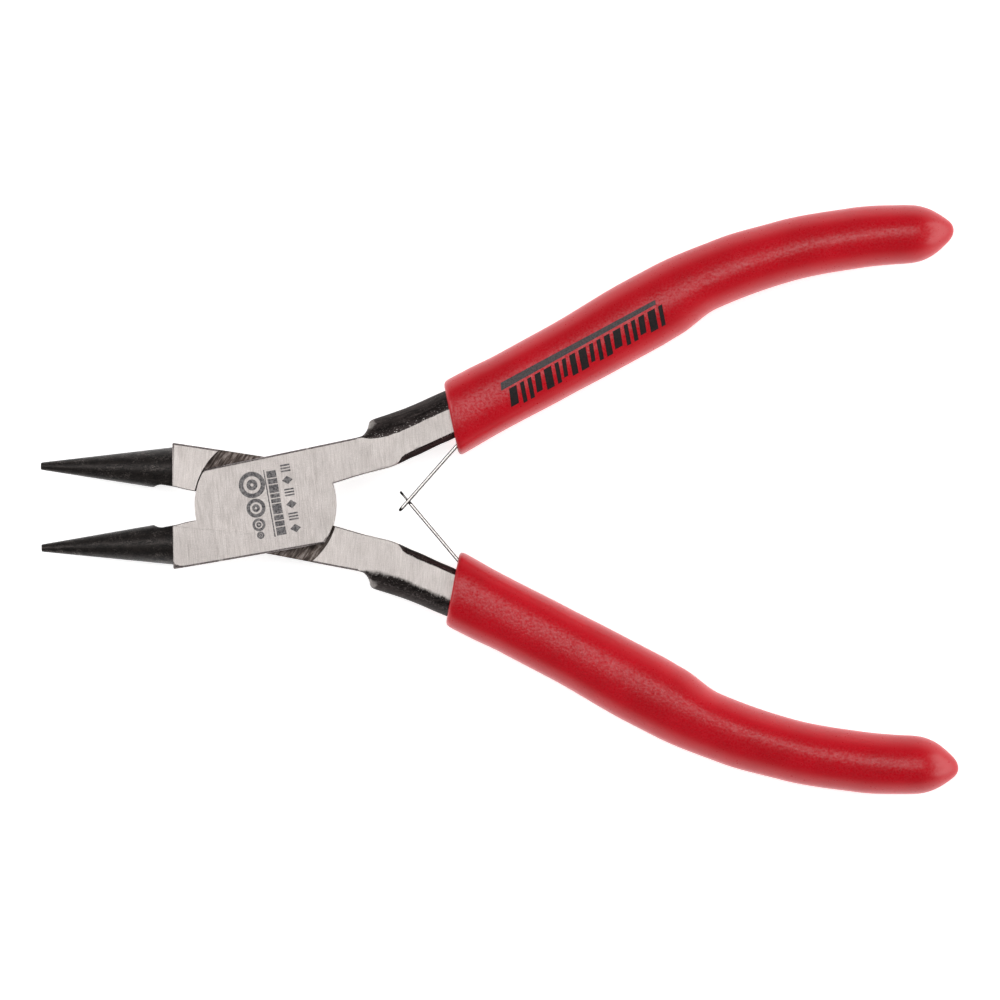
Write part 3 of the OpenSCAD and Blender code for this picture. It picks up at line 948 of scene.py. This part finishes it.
def lever_steel(name, turn_deg, tone, ragged, soft, spread, scuffed):
    """Ground steel on the flats, and black forging skin where the skin value is above zero."""
    n = Nodes(name)
    colour, rough, height = brushed(n, turn_deg, tone)
    depth = n.marked("skin")
    wisps = n.noise(n.place(turn_deg, (1.0, 0.14, 0.14)), 6500, 4.0, 0.6)
    blots = n.noise(n.place(turn_deg, (1.0, 1.0, 1.0)), 900, 3.0, 0.55)
    both = n.weighed(wisps, 0.45, blots, 0.55)
    edge = n.maths("ADD", depth, n.fit(both, 0.35, 0.65, spread - ragged, spread + ragged))
    black = n.fit(edge, -soft, soft, 0.0, 1.0, True)
    streak = n.noise(n.place(turn_deg - 13, (0.16, 1.0, 1.0)), 3600, 5.0, 0.65)
    dark = n.ramp(streak, ((0.35, BLACK_LOW), (0.72, BLACK_HIGH)))
    # Painted glints: pale specks near the edge of the ground flat
    glint_specks = n.fit(n.noise(n.place(turn_deg, (0.7, 1, 1)), 6500, 2.0, 0.5), 0.63, 0.68, 0, 0.9)
    near = n.fit(depth, 0.1, 1.1, 1.0, 0.1)
    dark = n.mix(n.maths("MULTIPLY", glint_specks, near), dark, STEEL_PALE)
    ridge = n.fit(n.maths("ABSOLUTE", n.maths("SUBTRACT", depth, 1.35), 0), 0, 0.4, 1, 0)
    scuff = n.fit(n.noise(n.place(turn_deg - 13, (0.6, 1, 1)), 5200, 3.0, 0.6), 0.5, 0.66, 0, scuffed)
    dark = n.mix(n.maths("MULTIPLY", scuff, ridge), dark, SCUFF)
    bare = n.fit(n.maths("ADD", n.marked("worn"), n.fit(blots, 0.3, 0.7, -0.2, 0.2)),
                 0.3, 0.65, 0, 0.62 - 0.35 * scuffed, True)
    black = n.maths("SUBTRACT", black, n.maths("MULTIPLY", black, bare))
    n.set("Base Color", n.mix(black, colour, dark))
    n.set("Metallic", n.fit(black, 0, 1, 1.0, 0.8))
    dark_rough = n.fit(streak, 0.3, 0.7, 0.3, 0.52)
    blend = n.tree.nodes.new("ShaderNodeMix")
    n.link(black, blend.inputs[0])
    n.link(rough, blend.inputs[2])
    n.link(dark_rough, blend.inputs[3])
    n.set("Roughness", blend.outputs[0])
    n.bump(n.mix(black, height, streak), 0.4, 0.00003)
    return n.mat


def wall_steel():
    """Sides of the plates: duller than the flats, and painted darker as shade."""
    n = Nodes("wall_steel")
    lines = n.noise(n.place(0, (1.0, 1.0, 0.08)), 5200, 4.0, 0.6)
    n.set("Base Color", n.ramp(lines, ((0.36, WALL_SHADE_LOW), (0.66, WALL_SHADE_HIGH))))
    n.set("Metallic", 1.0)
    n.set("Roughness", n.fit(lines, 0.35, 0.65, 0.55, 0.42))
    n.bump(lines, 0.35, 0.00002)
    return n.mat


def milled_dark(turn_deg):
    """Floor and wall of the milled recess: dark, with slanting cutter marks."""
    n = Nodes("milled_dark")
    marks = n.noise(n.place(turn_deg, (1.0, 0.15, 0.15)), 3600, 4.0, 0.65)
    cloud = n.noise(n.place(0, (1, 1, 1)), 700, 2.0, 0.5)
    both = n.weighed(marks, 0.75, cloud, 0.25)
    n.set("Base Color", n.ramp(both, ((0.36, (0.03, 0.023, 0.02)), (0.5, (0.095, 0.073, 0.064)),
                                      (0.66, (0.29, 0.25, 0.23)))))
    n.set("Metallic", 0.85)
    n.set("Roughness", n.fit(both, 0.4, 0.7, 0.5, 0.28))
    n.bump(both, 0.8, 0.00006)
    return n.mat


def black_oxide():
    """Blackened jaws: satin, with pale specks that are painted glints, and a little brown."""
    n = Nodes("black_oxide")
    streak = n.noise(n.place(0, (0.4, 1.0, 1.0)), 1900, 5.0, 0.6)
    grain = n.noise(n.place(0, (0.7, 1, 1)), 6200, 2.5, 0.6)
    both = n.weighed(streak, 0.5, grain, 0.5)
    dark = n.ramp(both, ((0.38, (0.005, 0.004, 0.0038)), (0.62, (0.036, 0.029, 0.0265))))
    # Painted glints: pale specks spread over the jaw
    glint_patches = n.noise(n.place(0, (0.5, 1, 1)), 1000, 4.0, 0.7)
    share = n.maths("MULTIPLY", n.fit(glint_patches, 0.48, 0.66, 0, 0.55, True), n.fit(grain, 0.45, 0.66, 0, 1))
    n.set("Base Color", n.mix(share, dark, (0.2, 0.172, 0.162)))
    n.set("Metallic", 0.6)
    n.set("Roughness", n.fit(both, 0.35, 0.65, 0.52, 0.3))
    n.bump(both, 0.8, 0.00005)
    return n.mat


def fine_steel(name, stretch, low, high, metal, rough, shaded_ends=False):
    """Nearly even steel with a fine grain; its ends may be painted dark as shade, where the end value is
    high.
    """
    n = Nodes(name)
    grain = n.noise(n.place(0, (1, 1, stretch)), 5200, 3.0, 0.55)
    colour = n.ramp(grain, ((0.35, low), (0.65, high)))
    if shaded_ends:
        # Painted shade: the strip goes nearly black near its ends
        ragged = n.maths("ADD", n.marked("end"), n.fit(grain, 0.3, 0.7, -0.1, 0.1))
        colour = n.mix(n.fit(ragged, 0.3, 0.6, 0, 1, True), colour, (0.008, 0.007, 0.006))
    n.set("Base Color", colour)
    n.set("Metallic", metal)
    n.set("Roughness", n.fit(grain, 0.3, 0.7, rough + 0.05, rough - 0.05))
    n.bump(grain, 0.15, 0.00001)
    return n.mat


def plain_steel(name, base, rough):
    """Small steel parts."""
    return fine_steel(name, 0.2, [0.88 * c for c in base], [1.08 * c for c in base], 1.0, rough)


def leaf_steel(name, low, high, metal=1.0, rough=0.31):
    """Strip steel with painted shade at its ends."""
    return fine_steel(name, 0.15, low, high, metal, rough, True)


def vinyl():
    """Glossy red plastic, grainy where it faces up or down."""
    n = Nodes("red_vinyl")
    cloud = n.noise(n.place(0, (1, 1, 1)), 190, 3.0, 0.5)
    grain = n.noise(n.place(0, (1, 1, 1)), 3000, 2.0, 0.6)
    n.set("Base Color", n.ramp(cloud, ((0.3, (0.5, 0.0022, 0.0095)), (0.7, (0.573, 0.003, 0.0125)))))
    upright = n.tree.nodes.new("ShaderNodeSeparateXYZ")
    n.link(n.tree.nodes.new("ShaderNodeTexCoord").outputs["Normal"], upright.inputs[0])
    on_top = n.fit(n.maths("ABSOLUTE", upright.outputs["Z"], 0), 0.78, 0.97, 0.06, 1.0, True)
    speckle = n.maths("MULTIPLY", on_top, n.fit(grain, 0.3, 0.7, -0.28, 0.34))
    n.set("Roughness", n.fit(grain, 0.3, 0.7, 0.34, 0.27))
    n.set("Specular IOR Level", n.maths("ADD", speckle, 0.44))
    n.set("Sheen Weight", 0.1)
    n.set("Sheen Roughness", 0.45)
    n.shader.inputs["Sheen Tint"].default_value = (1.0, 0.12, 0.18, 1.0)
    n.bump(grain, n.maths("MULTIPLY", on_top, 0.4), 0.0001)
    return n.mat


def ink(name, low, high, rough):
    """Etched or printed marks, a little uneven."""
    n = Nodes(name)
    worn = n.noise(n.place(0, (1, 1, 1)), 3800, 4.0, 0.65)
    n.set("Base Color", n.ramp(worn, ((0.38, low), (0.7, high))))
    n.set("Roughness", rough)
    n.set("Specular IOR Level", 0.3)
    n.bump(worn, 0.2, 0.00001)
    return n.mat


def paler_floor():
    n = Nodes("floor")
    cloud = n.noise(n.place(0, (1, 1, 1)), 4, 2.0, 0.5)
    n.set("Base Color", n.ramp(cloud, ((0.3, (0.9, 0.9, 0.9)), (0.7, (0.915, 0.915, 0.915)))))
    n.set("Roughness", 0.85)
    n.set("Specular IOR Level", 0.1)
    n.shader.inputs["Emission Color"].default_value = (1, 1, 1, 1)
    n.set("Emission Strength", 0.65)
    return n.mat


# ---- assembly ----------------


def paint(obj, *materials):
    obj.data.materials.clear()
    for m in materials:
        obj.data.materials.append(m)
    return obj


def paint_faces(obj, side, disc_r):
    """Second material: plate sides, painted darker as shade. Third: the inner lever's milled recess."""
    for face in obj.data.polygons:
        x, y, z = in_lever(face.center, side)
        rim = abs(math.hypot(x - DISC_SHIFT, y) - disc_r) < 0.16
        # Sides and round edges of the plates, except the joint's rim, take the steel with painted shade
        if x < FORGED_FROM and abs(face.normal.z) < 0.97 and not rim:
            face.material_index = 1
        if side == OUTER or not 0.3 < z < JOINT_T - 0.3:
            continue
        floor = abs(face.normal.z) > 0.9 and math.hypot(x, y) < RECESS_R + 0.4
        wall = abs(face.normal.z) < 0.3 and abs(math.hypot(x - RECESS_SHIFT, y) - RECESS_R) < 0.02
        if floor or wall:
            face.material_index = 2


def finished_lever(name, body, side, disc_r, steels, oxide):
    """The cut body, painted and marked, as one object with its jaw and its core."""
    gridded(body, side)
    neaten(body)
    paint(body, *steels)
    paint_faces(body, side, disc_r)
    places = [in_lever(v.co, side) for v in body.data.vertices]
    mark(body, "skin", [skin_depth(x, y, side) for x, y, _ in places])
    mark(body, "worn", [wear(place) for place in places])
    return even_flats(join(name, [body, paint(jaw(side), oxide), paint(core(side), oxide)]))


def outer_lever(steel, wall, oxide):
    """The slotted lever, with a cheek on each side of the tongue."""
    body = lever_solid("outer_body", CHEEK_R, OUTER)
    gap = TONGUE_T / 2 + SLOT_CLEARANCE
    cut(body, drum(SLOT_R, MID_Z - gap, MID_Z + gap, OUTER))
    cut(body, drum(PIN_R, -1, JOINT_T + 1, OUTER, count=96))
    obj = finished_lever("outer_lever_look", body, OUTER, CHEEK_R, (steel, wall), oxide)
    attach(obj, "outer_lever")
    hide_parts("outer_lever")


def inner_lever(steel, wall, recess, oxide):
    """The lever whose tongue is left between two milled recesses."""
    body = lever_solid("inner_body", TONGUE_R, INNER)
    deep = (JOINT_T - TONGUE_T) / 2
    for low, high in ((-1, deep), (JOINT_T - deep, JOINT_T + 1)):
        cut(body, drum(RECESS_R, low, high, INNER, RECESS_SHIFT))
    cut(body, drum(PIN_R + PIN_CLEARANCE, -1, JOINT_T + 1, INNER, count=96))
    obj = finished_lever("inner_lever_look", body, INNER, TONGUE_R, (steel, wall, recess), oxide)
    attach(obj, "inner_lever")
    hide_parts("inner_lever")


def add_grips(material):
    for side, body in ((OUTER, "outer_lever"), (INNER, "inner_lever")):
        node = body + "_grip"
        obj = paint(grip(node + "_look", side), material)
        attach(obj, body)
        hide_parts(node)


def add_leaves(edge, corner, shaded_flank):
    for side, lever, kind, length, present in (
            (OUTER, "outer_lever", "slotted", SLOTTED_LEN, slotted),
            (INNER, "inner_lever", "tongued", TONGUED_LEN, tongued)):
        obj = paint(leaf(kind + "_leaf_look", side, length, present), edge, corner, shaded_flank)
        # Up-facing faces keep the bright steel; round corners and upright sides get darker copies as
        # painted shade
        for face in obj.data.polygons:
            flat = abs(face.normal.z)
            face.material_index = 2 if flat < 0.15 else int(flat < 0.98)
        end = leaf_path(side, length)[-1]
        tip = Vector(in_row((end[0], end[1], 0), side)).to_2d()
        # The end value, 1 at the strip's tip, places the painted shade of its end
        mark(obj, "end", [max(0.0, 1 - (v.co.to_2d() - tip).length / MM) for v in obj.data.vertices])
        blend_leaf(obj, side)
        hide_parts(kind + "_leaf_spring")


def add_marks(etched, printed, pale):
    for obj, material in ((joint_marks(), etched), (grip_bars(), printed), (grip_line(), pale)):
        paint(obj, material)
        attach(obj, "outer_lever")


def add_stage(floor_z):
    half = 6.0
    mesh = bpy.data.meshes.new("floor")
    mesh.from_pydata([(x * half, y * half, floor_z) for x, y in ((-1, -1), (1, -1), (1, 1), (-1, 1))],
                     [], [(0, 1, 2, 3)])
    floor = paint(in_scene("floor", mesh), paler_floor())


def area_light(name, place, target, size, power):
    data = bpy.data.lights.new(name, "AREA")
    data.shape, data.size, data.size_y = "RECTANGLE", size[0], size[1]
    data.energy = power
    lamp = in_scene(name, data)
    lamp.location = place
    lamp.rotation_euler = (Vector(target) - Vector(place)).to_track_quat("-Z", "Y").to_euler()


def light_scene():
    """A room that is bright low down and dim above, a softbox overhead and one at each end."""
    world = bpy.data.worlds.new("studio")
    bpy.context.scene.world = world
    world.use_nodes = True
    tree = world.node_tree
    height = tree.nodes.new("ShaderNodeSeparateXYZ")
    tree.links.new(tree.nodes.new("ShaderNodeTexCoord").outputs["Generated"], height.inputs[0])
    fade = tree.nodes.new("ShaderNodeMapRange")
    fade.interpolation_type = "SMOOTHSTEP"
    for key, value in zip(("From Min", "From Max", "To Min", "To Max"), (0.1, 0.4, 0.85, 0.13)):
        fade.inputs[key].default_value = value
    tree.links.new(height.outputs["Z"], fade.inputs["Value"])
    back = tree.nodes["Background"]
    back.inputs["Color"].default_value = (1.0, 1.0, 1.0, 1.0)
    tree.links.new(fade.outputs["Result"], back.inputs["Strength"])
    middle = (0.03, 0.0, 0.0)
    area_light("overhead", (0.03, 0.1, 0.74), middle, (0.9, 0.32), 2.09)
    area_light("left_end", (-0.62, 0.1, 0.55), middle, (0.55, 0.5), 2.3)
    area_light("right_end", (0.84, 0.02, 0.27), middle, (1.2, 0.5), 5.3)


def add_camera():
    """Straight above, turned by half a degree, as wide as the frame of the photo."""
    frame_w, lens, sensor = 136.4 * MM, 300.0, 36.0
    roll = math.radians(-0.5)
    seen = (32.06 * MM, 0.7 * MM)
    data = bpy.data.cameras.new("camera")
    data.lens, data.sensor_width = lens, sensor
    data.clip_start, data.clip_end = 0.01, 50.0
    camera = in_scene("camera", data)
    camera.location = (seen[0] * math.cos(roll) - seen[1] * math.sin(roll),
                       seen[0] * math.sin(roll) + seen[1] * math.cos(roll),
                       FRAMED_Z * MM + frame_w * lens / sensor)
    camera.rotation_euler = (0, 0, roll)
    bpy.context.scene.camera = camera


def main():
    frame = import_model()
    cad_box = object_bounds()
    steel_a = lever_steel("ground_steel_outer", -5, 0.87, 0.05, 0.03, 0.0, 0.36)
    steel_b = lever_steel("ground_steel_inner", 5, 0.94, 0.26, 0.28, -0.08, 0.62)
    # The plates' sides take the steel with painted shade
    wall, oxide = wall_steel(), black_oxide()
    outer_lever(steel_a, wall, oxide)
    inner_lever(steel_b, wall, milled_dark(35), oxide)
    add_grips(vinyl())
    # The corner and flank steels are darker copies of the strip steel: painted shade
    add_leaves(leaf_steel("leaf_edge", (0.6, 0.57, 0.55), (0.78, 0.745, 0.72)),
               leaf_steel("leaf_corner_shade", (0.012, 0.009, 0.008), (0.04, 0.031, 0.027), 0.7, 0.5),
               leaf_steel("leaf_flank_shade", (0.22, 0.19, 0.17), (0.42, 0.38, 0.35)))
    add_marks(ink("etched", (0.085, 0.08, 0.085), (0.3, 0.285, 0.28), 0.6),
              ink("print_black", (0.005, 0.003, 0.0035), (0.018, 0.01, 0.011), 0.6),
              ink("print_grey", (0.055, 0.045, 0.048), (0.11, 0.09, 0.092), 0.55))
    paint(frame["nodes"]["pivot_pin"], plain_steel("pin_steel", (0.54, 0.5, 0.475), 0.45))
    rivets = plain_steel("rivet_steel", (0.6, 0.59, 0.57), 0.35)
    for node in ("slotted_leaf_rivet", "tongued_leaf_rivet"):
        paint(frame["nodes"][node], rivets)
    add_stage(cad_box[0].z)
    light_scene()
    add_camera()
    scene = bpy.context.scene
    scene.view_settings.view_transform = "Standard"
    scene.view_settings.look = "None"


main()
